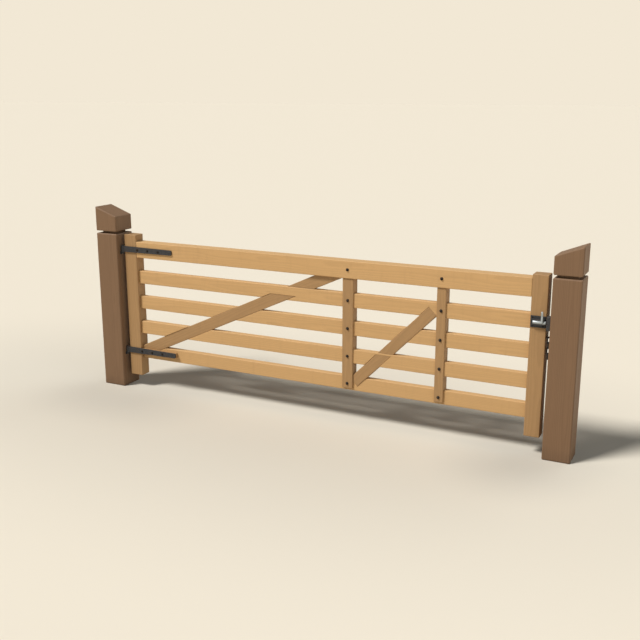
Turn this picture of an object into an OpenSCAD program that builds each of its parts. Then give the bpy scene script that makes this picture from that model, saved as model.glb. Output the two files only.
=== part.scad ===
// Five-bar farm gate on two square posts, closed, with its sliding bolt just clear of the keep.
// Millimetres. X runs along the gate from the hinges to the latch, Y away from the front, Z up.
// The origin is the middle of the hanging post's foot, at ground level.

/* [Posts] */
// Width and depth of the square hanging post
hanging_post_w = 193; // [160:1:230]
// Width and depth of the square latch post
latch_post_w = 179; // [150:1:220]
// Height of the hanging post's shoulder above the top rail
hanging_post_over = 55; // [20:1:200]
// Height of the latch post's shoulder above the top rail
latch_post_over = 19; // [10:1:200]
// Width of the square neck that carries a cap
neck_w = 120; // [90:5:130]
// Height of the neck, which is the open gap under the cap
neck_h = 19; // [12:1:40]
// Height of a cap on its low side, next to the gate
cap_low_h = 117; // [60:1:160]
// How much higher a cap is on its outer side
cap_rise = 68; // [20:1:110]
// Width of the chamfers on posts and caps
post_arris = 6; // [2:0.5:12]

/* [Leaf] */
// Length of the leaf over both stiles
leaf_len = 3250; // [2900:5:4200]
// Clear gap between leaf and latch post
latch_gap = 31; // [31:0.5:50]
// Width of the chamfers on the timbers of the leaf
arris = 3; // [2:0.5:8]

/* [Stiles] */
// Depth of both stiles and of the top rail
stile_d = 90; // [80:1:110]
// Width of the hanging stile
hanging_stile_w = 109; // [80:1:130]
// How far the hanging stile reaches below the bottom rail
hanging_stile_below = 144; // [60:1:180]
// How far the hanging stile reaches above the top rail
hanging_stile_above = 52; // [15:1:120]
// Width of the shutting stile
shutting_stile_w = 102; // [80:1:130]
// How far the shutting stile reaches below the bottom rail
shutting_stile_below = 115; // [60:1:180]
// How far the shutting stile reaches above the top rail
shutting_stile_above = 24; // [15:1:120]

/* [Rails] */
// Height of the four lower rails
rail_h = 100; // [80:1:110]
// Thickness of the four lower rails and of the braces
rail_t = 48; // [34:1:52]
// Height of the bottom rail's lower edge above the ground
bottom_rail_v = 240; // [200:1:300]
// Spacing of the four lower rails
rail_pitch = 199; // [160:1:240]
// Height of the top rail
top_rail_h = 122; // [90:1:130]
// Step from the second rail's lower edge up to the top rail's
top_rail_step = 205; // [180:1:260]
// How far the bottom rail's face is set back from the stiles' face
bottom_rail_set = 23; // [15:0.5:32]
// How far the fourth rail's face is set back
fourth_rail_set = 17.5; // [15:0.5:32]
// How far the third rail's face is set back
third_rail_set = 22; // [15:0.5:32]
// How far the second rail's face is set back
second_rail_set = 19; // [15:0.5:32]

/* [Tenons] */
// Length of the tenons in stiles and top rail
tenon_l = 55; // [30:1:70]
// Thickness of the tenons
tenon_t = 22; // [15:1:26]
// Shoulder above and below a tenon
tenon_shoulder = 14; // [8:1:25]
// Clearance of a tenon in its mortise
mortise_gap = 0.4; // [0.2:0.1:0.8]

/* [Uprights] */
// Depth of both uprights
upright_d = 73; // [64:1:84]
// Height of the uprights' feet above the bottom rail's lower edge
upright_up = 15; // [0:1:40]
// Distance of the middle upright from the hinge end of the leaf
middle_upright_u = 1849; // [1500:1:1950]
// Width of the middle upright
middle_upright_w = 81; // [55:1:90]
// Distance of the outer upright from the hinge end of the leaf
outer_upright_u = 2530; // [2460:1:2560]
// Width of the outer upright
outer_upright_w = 64; // [50:1:80]

/* [Braces] */
// Width of the long brace
long_brace_w = 89; // [60:1:100]
// How far the long brace's face is set back from the stiles' face
long_brace_set = 21; // [16:0.5:28]
// Strip of the second rail that passes in front of the long brace
second_rail_over = 64; // [40:1:75]
// Width of the short brace
short_brace_w = 80; // [60:1:95]
// How far the short brace's face is set back
short_brace_set = 19; // [15:0.5:24]
// Length that the square cut takes off the short brace's foot, along its lower edge
short_brace_toe = 48; // [20:1:70]
// Height of the short brace's head above the second rail's lower edge
short_brace_head_up = 10; // [5:1:30]
// Strip of the fourth rail that passes in front of the short brace
fourth_rail_over = 13; // [8:1:20]
// Thickness that a brace keeps where it steps from the front of a rail to its back
lap_key = 12; // [8:1:16]

/* [Hinges] */
// How far the upper strap's middle lies below the top rail's
upper_strap_down = 0; // [0:1:20]
// How far the lower strap's middle lies above the bottom rail's
lower_strap_up = 9; // [0:1:20]
// Length of a strap from the hinge axis to its tip
strap_l = 455; // [300:1:600]
// Thickness of a strap
strap_t = 10; // [6:0.5:12]
// Height of a strap at its eye
strap_eye_h = 45; // [36:1:55]
// Height of a strap at its tip
strap_tip_h = 37; // [28:1:45]
// Width of the corners cut off a strap's tip
strap_corner = 6; // [2:0.5:12]
// Diameter of the hinge pins
pin_d = 16; // [12:0.5:18]
// Wall of a strap's eye round its pin
eye_wall = 4.7; // [3.5:0.1:6]
// Radial clearance of the eyes on the pins
eye_gap = 0.3; // [0.2:0.05:0.5]
// Clear gap between an eye and the hanging stile
eye_clear = 3; // [3:0.5:10]
// Diameter of the collar on a hook's shank
collar_d = 27; // [20:0.5:34]
// Thickness of the collar
collar_t = 3; // [2:0.5:6]
// Clear gap between a collar and the eye
collar_gap = 1; // [0.5:0.25:3]
// How far a hook's shank is let into the post
shank_l = 82; // [50:1:110]
// How far a pin stands above its eye
pin_over = 7; // [3:1:20]

/* [Latch] */
// Height of the bolt above the second rail's middle
bolt_up = 3; // [0:1:30]
// Diameter of the bolt
bolt_d = 24; // [18:0.5:26]
// Length of the bolt
bolt_l = 82; // [75:1:95]
// Length of the chamfer on the bolt's end
bolt_nose = 3; // [1:0.5:5]
// Gap between the bolt's end and the keep with the bolt as drawn
bolt_clear = 5; // [5:0.5:10]
// Distance of the handle from the bolt's free end
handle_in = 24; // [24:0.5:32]
// Diameter of the handle
handle_d = 14; // [10:0.5:16]
// Clear gap between the handle and the guide
handle_clear = 2; // [1:0.25:3]
// Height of the handle above the bolt's axis
handle_h = 74; // [50:1:100]
// Height of the latch plate
plate_h = 74; // [60:1:90]
// How far the latch plate keeps from the edges of the shutting stile
plate_in = 3; // [2:0.5:6]
// Thickness of the latch plate
plate_t = 6; // [4:0.5:8]
// Height of the guide that clasps the bolt
guide_h = 38; // [36:1:46]
// How far the guide reaches back past the bolt's tail
guide_back = 4; // [0:0.5:8]
// Length of the guide
guide_l = 78; // [60:1:90]
// How far the bolt stands proud of the guide
guide_proud = 6; // [5:0.25:7]
// Clearance of the bolt in its guide
guide_gap = 0.5; // [0.3:0.05:0.7]
// Thickness of the keep on the latch post
keep_t = 24; // [20:0.5:28]
// Depth of the keep
keep_d = 38; // [36:1:44]
// Height of the keep
keep_h = 90; // [60:1:110]
// Height of the keep's middle above the bolt
keep_up = 0; // [0:1:12]
// Width of the chamfers on the keep
keep_arris = 3; // [1:0.5:5]
// Clearance of the bolt in the keep's square mouth
keep_gap = 1.5; // [1:0.1:2.5]

/* [Chain] */
// Number of links
link_count = 4; // [2:1:6]
// Diameter of the chain's wire
link_wire = 6; // [5:0.25:6.5]
// Inside length of a link
link_pitch = 35.5; // [30:0.5:40]
// Outside width of a link
link_w = 20; // [20:0.5:26]
// Play between two links
link_play = 0.3; // [0.2:0.05:0.5]
// Drop from the bolt to the staple that carries the chain
staple_down = 103; // [90:1:140]
// Distance of the staple's bar from the stile
staple_reach = 14.5; // [14:0.5:18]
// Distance of the staple behind the front of the stile
staple_in = 15; // [12:1:40]
// Space between the middles of the staple's two legs
staple_w = 22; // [16:0.5:30]
// Radius of the staple's two bends
staple_bend = 6; // [5:0.5:8]
// How far the staple's legs are let into the stile
staple_sunk = 30; // [20:1:45]
// Clearance of the staple's legs in the stile
staple_gap = 0.2; // [0.1:0.05:0.3]

/* [Hidden] */
$fn = 64;

post_colour = [0.47, 0.35, 0.25];
rail_colour = [0.77, 0.61, 0.40];
frame_colour = [0.65, 0.50, 0.34];
iron_colour = [0.26, 0.26, 0.28];
steel_colour = [0.68, 0.68, 0.66];

far = 4 * leaf_len;
hanging_face_x = hanging_post_w / 2;
stile_face = -stile_d / 2;

function rail_v(i) = bottom_rail_v + i * rail_pitch;
top_rail_v = rail_v(3) + top_rail_step;
top_rail_top = top_rail_v + top_rail_h;
hanging_post_h = top_rail_top + hanging_post_over;
latch_post_h = top_rail_top + latch_post_over;
upper_strap_z = top_rail_v + top_rail_h / 2 - upper_strap_down;
lower_strap_z = rail_v(0) + rail_h / 2 + lower_strap_up;
bolt_z = rail_v(3) + rail_h / 2 + bolt_up;
staple_z = bolt_z - staple_down;

eye_r = pin_d / 2 + eye_gap + eye_wall;
hinge_axis_x = collar_t + collar_gap + eye_r;
hinge_gap = hinge_axis_x + eye_r + eye_clear;
leaf_x0 = hanging_face_x + hinge_gap;
leaf_edge_x = leaf_x0 + leaf_len;
latch_face_x = leaf_edge_x + latch_gap;
latch_post_x = latch_face_x + latch_post_w / 2;

inner_u = leaf_len - shutting_stile_w;
rail_sets = [bottom_rail_set, fourth_rail_set, third_rail_set, second_rail_set];
over_long = [0, 0, 0, second_rail_over];
over_short = [0, fourth_rail_over, 0, 0];
function rail_y(i) = stile_face + rail_sets[i];

long_brace_run = middle_upright_u - hanging_stile_w;
long_brace_climb = top_rail_v - bottom_rail_v;
long_brace_slope = atan2(long_brace_climb, long_brace_run);
short_brace_u = middle_upright_u + middle_upright_w;
short_brace_run = outer_upright_u - short_brace_u;
short_brace_climb = rail_v(3) + short_brace_head_up - bottom_rail_v;
short_brace_slope = atan2(short_brace_climb, short_brace_run);
short_brace_l = norm([short_brace_run, short_brace_climb]);

hinge_x = hanging_face_x + hinge_axis_x;
hinge_y = stile_face - strap_t / 2;
shank_drop = strap_eye_h / 2 + eye_gap + pin_d / 2;

plate_y = stile_face - plate_t;
bolt_y = plate_y - bolt_d / 2;
bolt_tip_x = latch_face_x - keep_t - bolt_clear;
bolt_tail_x = bolt_tip_x - bolt_l;
handle_x = bolt_tip_x - handle_in;
guide_front_y = bolt_y - bolt_d / 2 + guide_proud;
handle_y = guide_front_y - handle_d / 2 - handle_clear;

staple_y = stile_face + staple_in + staple_w / 2;
staple_x = leaf_edge_x + staple_reach;

// A rectangle with its four corners cut off.
function cut_rect(w, h, c) =
    [[c, 0], [w - c, 0], [w, c], [w, h - c], [w - c, h], [c, h], [0, h - c], [0, c]];

// A squared timber with chamfered edges, one corner at the origin.
module timber(l, d, h, c) {
    intersection() {
        linear_extrude(h) polygon(cut_rect(l, d, c));
        translate([0, d, 0]) rotate([90, 0, 0]) linear_extrude(d) polygon(cut_rect(l, h, c));
        rotate([90, 0, 90]) linear_extrude(l) polygon(cut_rect(d, h, c));
    }
}

// The leaf's own frame: u along the rails, v up the stiles.
module in_leaf() {
    translate([leaf_x0, 0, 0]) children();
}

// A flat shape in u and v, made solid from y0 to y1.
module through(y0, y1) {
    translate([0, y1, 0]) rotate([90, 0, 0]) linear_extrude(y1 - y0) children();
}

// Posts and caps.

module post(x, w, h) {
    translate([x - w / 2, -w / 2, 0]) timber(w, w, h, post_arris);
    translate([x - neck_w / 2, -neck_w / 2, h - post_arris])
        cube([neck_w, neck_w, neck_h + post_arris]);
}

// side is 1 for a cap that is high toward +X and -1 for one that is high toward -X.
module post_cap(x, w, z, side) {
    low = cap_low_h;
    high = cap_low_h + cap_rise;
    translate([x, 0, z]) mirror([side < 0 ? 1 : 0, 0, 0]) translate([-w / 2, 0, 0])
        intersection() {
            through(-w / 2, w / 2)
                polygon([[post_arris, 0], [w - post_arris, 0], [w, post_arris],
                         [w, high - post_arris], [w - post_arris, high - post_arris / 3],
                         [post_arris, low], [0, low - post_arris / 2], [0, post_arris]]);
            translate([0, -w / 2, 0]) linear_extrude(high) polygon(cut_rect(w, w, post_arris));
            translate([0, -w / 2, 0]) cap_slopes(w, low, high);
        }
}

// The chamfers along the front and back of a cap's sloping top.
module cap_slopes(w, low, high) {
    slope = atan2(high - low, w);
    rotate([0, -slope, 0]) translate([-w, 0, -w])
        rotate([90, 0, 90]) linear_extrude(3 * w)
            polygon(cut_rect(w, low * cos(slope) + w, post_arris));
}

module hanging_post() {
    color(post_colour) difference() {
        post(0, hanging_post_w, hanging_post_h);
        for (z = [upper_strap_z, lower_strap_z]) hook_hole(z);
    }
}

module hanging_post_cap() {
    color(post_colour) post_cap(0, hanging_post_w, hanging_post_h + neck_h, -1);
}

module latch_post() {
    color(post_colour) post(latch_post_x, latch_post_w, latch_post_h);
}

module latch_post_cap() {
    color(post_colour) post_cap(latch_post_x, latch_post_w, latch_post_h + neck_h, 1);
}

// Hinge hooks: a shank let into the post, a collar on its face and an upright pin.

module hook_hole(z) {
    translate([hanging_face_x - shank_l - eye_gap, hinge_y, z - shank_drop])
        rotate([0, 90, 0]) cylinder(d = pin_d + eye_gap, h = shank_l + 2 * eye_gap);
}

module hinge_hook(z) {
    shank_z = z - shank_drop;
    pin_h = shank_drop + strap_eye_h / 2 + pin_over;
    color(iron_colour) {
        translate([hanging_face_x - shank_l, hinge_y, shank_z])
            rotate([0, 90, 0]) cylinder(d = pin_d, h = shank_l + hinge_axis_x);
        translate([hanging_face_x, hinge_y, shank_z])
            rotate([0, 90, 0]) cylinder(d = collar_d, h = collar_t);
        translate([hinge_x, hinge_y, shank_z]) sphere(d = pin_d);
        translate([hinge_x, hinge_y, shank_z]) cylinder(d = pin_d, h = pin_h);
    }
}

module upper_hinge_hook() {
    hinge_hook(upper_strap_z);
}

module lower_hinge_hook() {
    hinge_hook(lower_strap_z);
}

// Stiles, with a mortise for each rail.

module rail_mortise(i, from_u) {
    translate([from_u, rail_y(i) + (rail_t - tenon_t) / 2 - mortise_gap,
               rail_v(i) + tenon_shoulder - mortise_gap])
        cube([tenon_l + 2 * mortise_gap, tenon_t + 2 * mortise_gap,
              rail_h - 2 * tenon_shoulder + 2 * mortise_gap]);
}

module top_rail_mortise(from_u) {
    translate([from_u, -tenon_t / 2 - mortise_gap, top_rail_v + tenon_shoulder - mortise_gap])
        cube([tenon_l + 2 * mortise_gap, tenon_t + 2 * mortise_gap,
              top_rail_h - 2 * tenon_shoulder + 2 * mortise_gap]);
}

module stile(u, w, below, above, mortise_u) {
    foot = bottom_rail_v - below;
    color(frame_colour) in_leaf() difference() {
        translate([u, stile_face, foot]) timber(w, stile_d, top_rail_top + above - foot, arris);
        for (i = [0 : 3]) rail_mortise(i, mortise_u);
        top_rail_mortise(mortise_u);
    }
}

module hanging_stile() {
    stile(0, hanging_stile_w, hanging_stile_below, hanging_stile_above,
          hanging_stile_w - tenon_l - 2 * mortise_gap);
}

module shutting_stile() {
    color(frame_colour) difference() {
        stile(inner_u, shutting_stile_w, shutting_stile_below, shutting_stile_above, inner_u);
        staple_legs(link_wire + 2 * staple_gap, staple_gap);
    }
}

// Rails, tenoned into the stiles and halved where a brace crosses them.

module rail(i) {
    color(rail_colour) in_leaf() difference() {
        union() {
            translate([hanging_stile_w, rail_y(i), rail_v(i)])
                timber(inner_u - hanging_stile_w, rail_t, rail_h, arris);
            for (u = [hanging_stile_w - tenon_l, inner_u - arris])
                translate([u, rail_y(i) + (rail_t - tenon_t) / 2, rail_v(i) + tenon_shoulder])
                    cube([tenon_l + arris, tenon_t, rail_h - 2 * tenon_shoulder]);
        }
        housing(i, over_long[i]) long_brace_shape();
        housing(i, over_short[i]) short_brace_shape();
    }
}

// The part of a crossing brace that a rail makes room for: in front of the rail, and behind
// the strip of height over that passes in front of the brace.
module housing(i, over) {
    key = over > 0 ? lap_key / 2 : 0;
    step_v = rail_v(i) + rail_h - over;
    through(-stile_d, key) intersection() {
        children();
        translate([0, step_v - far]) square([far, far]);
    }
    if (over > 0)
        through(-key, stile_d) intersection() {
            children();
            translate([0, step_v]) square([far, far]);
        }
}

module top_rail() {
    color(rail_colour) in_leaf() difference() {
        union() {
            translate([hanging_stile_w, stile_face, top_rail_v])
                timber(inner_u - hanging_stile_w, stile_d, top_rail_h, arris);
            for (u = [hanging_stile_w - tenon_l, inner_u - arris])
                translate([u, -tenon_t / 2, top_rail_v + tenon_shoulder])
                    cube([tenon_l + arris, tenon_t, top_rail_h - 2 * tenon_shoulder]);
        }
        upright_mortise(middle_upright_u, middle_upright_w);
        upright_mortise(outer_upright_u, outer_upright_w);
    }
}

module second_rail() {
    rail(3);
}

module third_rail() {
    rail(2);
}

module fourth_rail() {
    rail(1);
}

module bottom_rail() {
    rail(0);
}

// Uprights, threaded over the lower rails and tenoned into the top rail.

module upright_tenon(u, w, grow) {
    translate([u + tenon_shoulder - grow, -tenon_t / 2 - grow, top_rail_v - arris])
        cube([w - 2 * tenon_shoulder + 2 * grow, tenon_t + 2 * grow, tenon_l + arris + grow]);
}

module upright_mortise(u, w) {
    upright_tenon(u, w, mortise_gap);
}

module upright(u, w) {
    foot = bottom_rail_v + upright_up;
    color(frame_colour) in_leaf() {
        difference() {
            translate([u, -upright_d / 2, foot]) timber(w, upright_d, top_rail_v - foot, arris);
            for (i = [0 : 3])
                translate([0, rail_y(i), rail_v(i)]) cube([leaf_len, rail_t, rail_h]);
        }
        upright_tenon(u, w, 0);
    }
}

module middle_upright() {
    upright(middle_upright_u, middle_upright_w);
}

module outer_upright() {
    upright(outer_upright_u, outer_upright_w);
}

// Braces, as flat shapes in u and v and as timbers halved over the rails.

module long_brace_shape() {
    foot_h = long_brace_w / cos(long_brace_slope);
    head_w = long_brace_w / sin(long_brace_slope);
    polygon([[hanging_stile_w, bottom_rail_v], [middle_upright_u, top_rail_v],
             [middle_upright_u - head_w, top_rail_v], [hanging_stile_w, bottom_rail_v + foot_h]]);
}

// Cut square at both ends, with the inner corners scribed to the uprights.
module short_brace_shape() {
    intersection() {
        translate([short_brace_u, bottom_rail_v]) rotate(short_brace_slope)
            translate([short_brace_toe, 0]) square([short_brace_l - short_brace_toe, short_brace_w]);
        translate([short_brace_u, 0]) square([short_brace_run, far]);
    }
}

// What a brace gives up at each rail: its back where it passes in front, else its front.
module laps(overs) {
    for (i = [0 : 3]) {
        key = overs[i] > 0 ? lap_key / 2 : 0;
        step_h = rail_h - overs[i];
        translate([0, key, rail_v(i)]) cube([leaf_len, stile_d, step_h]);
        if (overs[i] > 0)
            translate([0, -key - stile_d, rail_v(i) + step_h]) cube([leaf_len, stile_d, overs[i]]);
    }
}

module brace(u, v, slope, l, w, set, overs) {
    color(frame_colour) in_leaf() difference() {
        intersection() {
            through(-stile_d, stile_d) children();
            translate([u, stile_face + set, v]) rotate([0, -slope, 0])
                translate([-w * tan(slope), 0, 0])
                    timber(l + w * tan(slope) + w / tan(slope), rail_t, w, arris);
        }
        laps(overs);
    }
}

module long_brace() {
    l = norm([long_brace_run, long_brace_climb]);
    brace(hanging_stile_w, bottom_rail_v, long_brace_slope, l, long_brace_w, long_brace_set,
          over_long) long_brace_shape();
}

module short_brace() {
    brace(short_brace_u, bottom_rail_v, short_brace_slope, short_brace_l, short_brace_w,
          short_brace_set, over_short) short_brace_shape();
}

// Hinge straps: a tapered band on the leaf's face, rolled into an eye round the pin.

module hinge_strap(z) {
    tip = strap_tip_h / 2;
    eye = strap_eye_h / 2;
    color(iron_colour) translate([hinge_x, hinge_y, z]) difference() {
        union() {
            through(-strap_t / 2, strap_t / 2)
                polygon([[0, -eye], [strap_l - strap_corner, -tip], [strap_l, strap_corner - tip],
                         [strap_l, tip - strap_corner], [strap_l - strap_corner, tip], [0, eye]]);
            translate([0, 0, -eye]) cylinder(r = eye_r, h = strap_eye_h);
        }
        translate([0, 0, -strap_eye_h]) cylinder(d = pin_d + 2 * eye_gap, h = 2 * strap_eye_h);
    }
}

module upper_hinge_strap() {
    hinge_strap(upper_strap_z);
}

module lower_hinge_strap() {
    hinge_strap(lower_strap_z);
}

// Wooden packing between the lower strap and the set-back bottom rail.
module lower_strap_packing() {
    color(frame_colour) difference() {
        intersection() {
            translate([hinge_x, stile_face, lower_strap_z - strap_tip_h / 2])
                cube([strap_l, bottom_rail_set, strap_tip_h]);
            in_leaf() translate([hanging_stile_w, stile_face, 0]) cube([far, stile_d, far]);
        }
        in_leaf() through(stile_face + long_brace_set, 0) long_brace_shape();
    }
}

// Latch: a plate with a guide that clasps the bolt, the bolt with its handle, and the keep.

module latch_plate() {
    plate_w = shutting_stile_w - 2 * plate_in;
    color(iron_colour) difference() {
        union() {
            translate([leaf_edge_x - plate_in - plate_w, plate_y, bolt_z - plate_h / 2])
                cube([plate_w, plate_t, plate_h]);
            translate([bolt_tail_x - guide_back, guide_front_y, bolt_z - guide_h / 2])
                cube([guide_l, plate_y - guide_front_y, guide_h]);
        }
        translate([bolt_tail_x - far, bolt_y, bolt_z]) rotate([0, 90, 0])
            cylinder(r = bolt_d / 2 + guide_gap, h = 2 * far);
    }
}

module latch_bolt() {
    color(steel_colour) {
        translate([bolt_tail_x, bolt_y, bolt_z]) rotate([0, 90, 0]) {
            cylinder(d = bolt_d, h = bolt_l - bolt_nose);
            translate([0, 0, bolt_l - bolt_nose])
                cylinder(d1 = bolt_d, d2 = bolt_d - 2 * bolt_nose, h = bolt_nose);
        }
        translate([handle_x, handle_y, bolt_z]) {
            cylinder(d = handle_d, h = handle_h - handle_d / 2);
            translate([0, 0, handle_h - handle_d / 2]) sphere(d = handle_d);
        }
    }
}

module latch_keep() {
    mouth = bolt_d + 2 * keep_gap;
    color(iron_colour) difference() {
        translate([latch_face_x - keep_t, bolt_y - keep_d / 2, bolt_z + keep_up - keep_h / 2])
            rotate([90, 0, 90]) linear_extrude(keep_t) polygon(cut_rect(keep_d, keep_h, keep_arris));
        translate([latch_face_x - 2 * keep_t, bolt_y - mouth / 2, bolt_z - mouth / 2])
            cube([3 * keep_t, mouth, mouth]);
    }
}

// Chain that hangs from a staple in the edge of the shutting stile.

module staple_legs(d, longer) {
    leg_l = staple_reach + staple_sunk + longer - staple_bend;
    for (side = [-1, 1])
        translate([staple_x - staple_bend - leg_l, staple_y + side * staple_w / 2, staple_z])
            rotate([0, 90, 0]) cylinder(d = d, h = leg_l);
}

module chain_staple() {
    bar_l = staple_w - 2 * staple_bend;
    color(iron_colour) {
        staple_legs(link_wire, 0);
        translate([staple_x, staple_y + bar_l / 2, staple_z]) rotate([90, 0, 0])
            cylinder(d = link_wire, h = bar_l);
        for (side = [0, 1]) mirror([0, side, 0])
            translate([staple_x - staple_bend, bar_l / 2 + (1 - 2 * side) * staple_y, staple_z])
                rotate_extrude(angle = 90) translate([staple_bend, 0]) circle(d = link_wire);
    }
}

// One link in the XZ plane, its middle at the origin.
module link() {
    bend_r = (link_w - link_wire) / 2;
    straight = link_pitch + link_wire - 2 * bend_r;
    for (side = [-1, 1])
        translate([side * bend_r, 0, -straight / 2]) cylinder(d = link_wire, h = straight);
    for (turn = [0, 180])
        rotate([0, turn, 0]) translate([0, 0, straight / 2]) rotate([90, 0, 0])
            rotate_extrude(angle = 180) translate([bend_r, 0]) circle(d = link_wire);
}

module latch_chain() {
    step = link_pitch - link_play;
    first_z = staple_z + link_wire / 2 + link_play - link_pitch / 2;
    color(iron_colour)
        for (i = [0 : link_count - 1])
            translate([staple_x, staple_y, first_z - i * step])
                rotate([0, 0, i % 2 == 0 ? 0 : 90]) link();
}

hanging_post();
hanging_post_cap();
latch_post();
latch_post_cap();
upper_hinge_hook();
lower_hinge_hook();
latch_keep();
hanging_stile();
shutting_stile();
top_rail();
second_rail();
third_rail();
fourth_rail();
bottom_rail();
middle_upright();
outer_upright();
long_brace();
short_brace();
upper_hinge_strap();
lower_hinge_strap();
lower_strap_packing();
latch_plate();
chain_staple();
latch_chain();
latch_bolt();
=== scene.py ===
"""Dresses a five-bar field gate: oiled timber, forged iron, bolts and a plain studio round it."""

import math

import bmesh
import bpy
from bpy.props import FloatProperty, FloatVectorProperty, PointerProperty
from bpy.types import Operator, Panel, PropertyGroup
from mathutils import Matrix, Vector, noise


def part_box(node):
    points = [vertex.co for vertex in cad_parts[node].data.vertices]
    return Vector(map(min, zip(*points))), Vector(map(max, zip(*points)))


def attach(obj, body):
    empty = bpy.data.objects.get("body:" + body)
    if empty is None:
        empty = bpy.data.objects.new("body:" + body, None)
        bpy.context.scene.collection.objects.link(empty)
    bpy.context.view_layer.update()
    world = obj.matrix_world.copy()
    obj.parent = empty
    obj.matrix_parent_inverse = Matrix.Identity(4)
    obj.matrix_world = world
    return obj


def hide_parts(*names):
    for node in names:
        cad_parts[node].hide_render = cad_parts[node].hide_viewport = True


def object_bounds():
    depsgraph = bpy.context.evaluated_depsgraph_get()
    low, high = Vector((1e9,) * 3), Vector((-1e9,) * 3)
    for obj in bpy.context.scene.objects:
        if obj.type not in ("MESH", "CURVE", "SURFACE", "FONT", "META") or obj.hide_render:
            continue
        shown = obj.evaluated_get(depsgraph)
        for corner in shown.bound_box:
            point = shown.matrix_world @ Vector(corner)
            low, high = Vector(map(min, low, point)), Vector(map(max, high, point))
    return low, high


bl_info = {
    "name": "Field Gate",
    "version": (1, 0, 0),
    "blender": (4, 5, 0),
    "location": "3D View > Sidebar > Field Gate",
    "description": "Dresses a five-bar field gate in oiled timber and forged iron",
    "category": "Object",
}

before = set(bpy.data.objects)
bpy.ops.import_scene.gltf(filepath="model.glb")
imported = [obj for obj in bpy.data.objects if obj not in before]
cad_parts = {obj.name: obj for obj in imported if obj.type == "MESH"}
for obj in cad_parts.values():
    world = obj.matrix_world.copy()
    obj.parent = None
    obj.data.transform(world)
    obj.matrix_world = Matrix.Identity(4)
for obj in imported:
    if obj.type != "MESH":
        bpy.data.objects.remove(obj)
CAD_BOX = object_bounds()

# Two faces that turn by less than this are one flat face.
FLAT_TURN = math.radians(0.3)

# The slow unevenness of planed timber.
WAVER_SEED = 11
WAVER_SIZE = 0.14

# Fixings, in metres. A strap's bolts lie at shares of its length.
STRAP_BOLT_SHARES = (0.324, 0.529, 0.738)
STRAP_THICKNESS = 0.010
STRAP_HEAD_HEIGHT = 0.006
CROSSING_HEAD_HEIGHT = 0.009
THREAD_RADIUS = 0.005
PLATE_THICKNESS = 0.006
SCREW_RADIUS = 0.0052
KEEP_SCREW_INSET = 0.014

# How far the latch plate's screws lie in from its left edge, its right edge and its ends.
PLATE_SCREW_INSETS = (0.012, 0.016, 0.010)

# Where the three lights shine from.
KEY_FROM = (-0.5, -0.58, 1.0)
FILL_FROM = (0.85, -0.42, 0.22)
RIM_FROM = (0.5, 1.0, 0.9)

# The floor's half width, and the soft shadow painted on the floor round the gate: its place, stretch and
# reach.
FLOOR_HALF = 150.0
PAINTED_SHADOW_OFFSET = Vector((-0.25, -0.1, 0))
PAINTED_SHADOW_STRETCH = (0.55, 1.0, 0.0)
PAINTED_SHADOW_NEAR = 0.2
PAINTED_SHADOW_FAR = 2.7
# The cool dark colour that the painted shadows darken the floor towards.
PAINTED_SHADE_COLOUR = (0, 0.05, 0.1, 1)

# Painted shadow on the floor at each post's foot: its place from the post, its stretch and its share of
# the depth.
PAINTED_FOOT_SHADOW_FAR = 0.7
PAINTED_FOOT_SHADOWS = {
    "hanging_post": (Vector((0.3, -0.3, 0)), (0.7, 1.0, 0.0), 0.75),
    "latch_post": (Vector((-0.2, -0.2, 0)), (1.0, 1.0, 0.0), 1.0),
}

# Which timber runs which way, and from which stock it is cut.
POST_TIMBERS = ("hanging_post", "hanging_post_cap", "latch_post", "latch_post_cap")
STILES = ("hanging_stile", "shutting_stile")
UPRIGHTS = ("middle_upright", "outer_upright")
RAILS = ("top_rail", "second_rail", "third_rail", "fourth_rail", "bottom_rail")
BRACES = ("long_brace", "short_brace")
UP = Vector((0, 0, 1))
ALONG = Vector((1, 0, 0))
FRONT = Vector((0, -1, 0))
BACK = Vector((0, 1, 0))


# Shader building blocks.


def feed(tree, socket, value):
    """Links value into socket if it is a socket, and otherwise sets it as the socket's own."""
    if isinstance(value, bpy.types.NodeSocket):
        tree.links.new(value, socket)
    else:
        socket.default_value = value


def calc(tree, operation, *values, clamp=False):
    """A Math node on sockets or numbers."""
    made = tree.nodes.new("ShaderNodeMath")
    made.operation = operation
    made.use_clamp = clamp
    for socket, value in zip(made.inputs, values):
        feed(tree, socket, value)
    return made.outputs[0]


def vector_calc(tree, operation, *values):
    """A Vector Math node on sockets or vectors."""
    made = tree.nodes.new("ShaderNodeVectorMath")
    made.operation = operation
    for socket, value in zip(made.inputs, values):
        feed(tree, socket, value)
    return made.outputs["Value" if operation in ("DOT_PRODUCT", "LENGTH") else "Vector"]


def cloud(tree, vector, scale, detail=3.0, rough=0.5):
    """A noise value from 0 to 1."""
    made = tree.nodes.new("ShaderNodeTexNoise")
    feed(tree, made.inputs["Vector"], vector)
    made.inputs["Scale"].default_value = scale
    made.inputs["Detail"].default_value = detail
    made.inputs["Roughness"].default_value = rough
    return made.outputs["Fac"]


def spread(tree, value, low, high, to_low=0.0, to_high=1.0):
    """Maps low..high smoothly onto to_low..to_high."""
    made = tree.nodes.new("ShaderNodeMapRange")
    made.interpolation_type = "SMOOTHSTEP"
    for name, number in (
        ("Value", value),
        ("From Min", low),
        ("From Max", high),
        ("To Min", to_low),
        ("To Max", to_high),
    ):
        feed(tree, made.inputs[name], number)
    return made.outputs["Result"]


def tint(tree, factor, first, second, blend="MIX"):
    """A colour mix."""
    made = tree.nodes.new("ShaderNodeMix")
    made.data_type = "RGBA"
    made.blend_type = blend
    made.clamp_factor = True
    feed(tree, made.inputs["Factor"], factor)
    feed(tree, made.inputs[6], first)
    feed(tree, made.inputs[7], second)
    return made.outputs[2]


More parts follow.
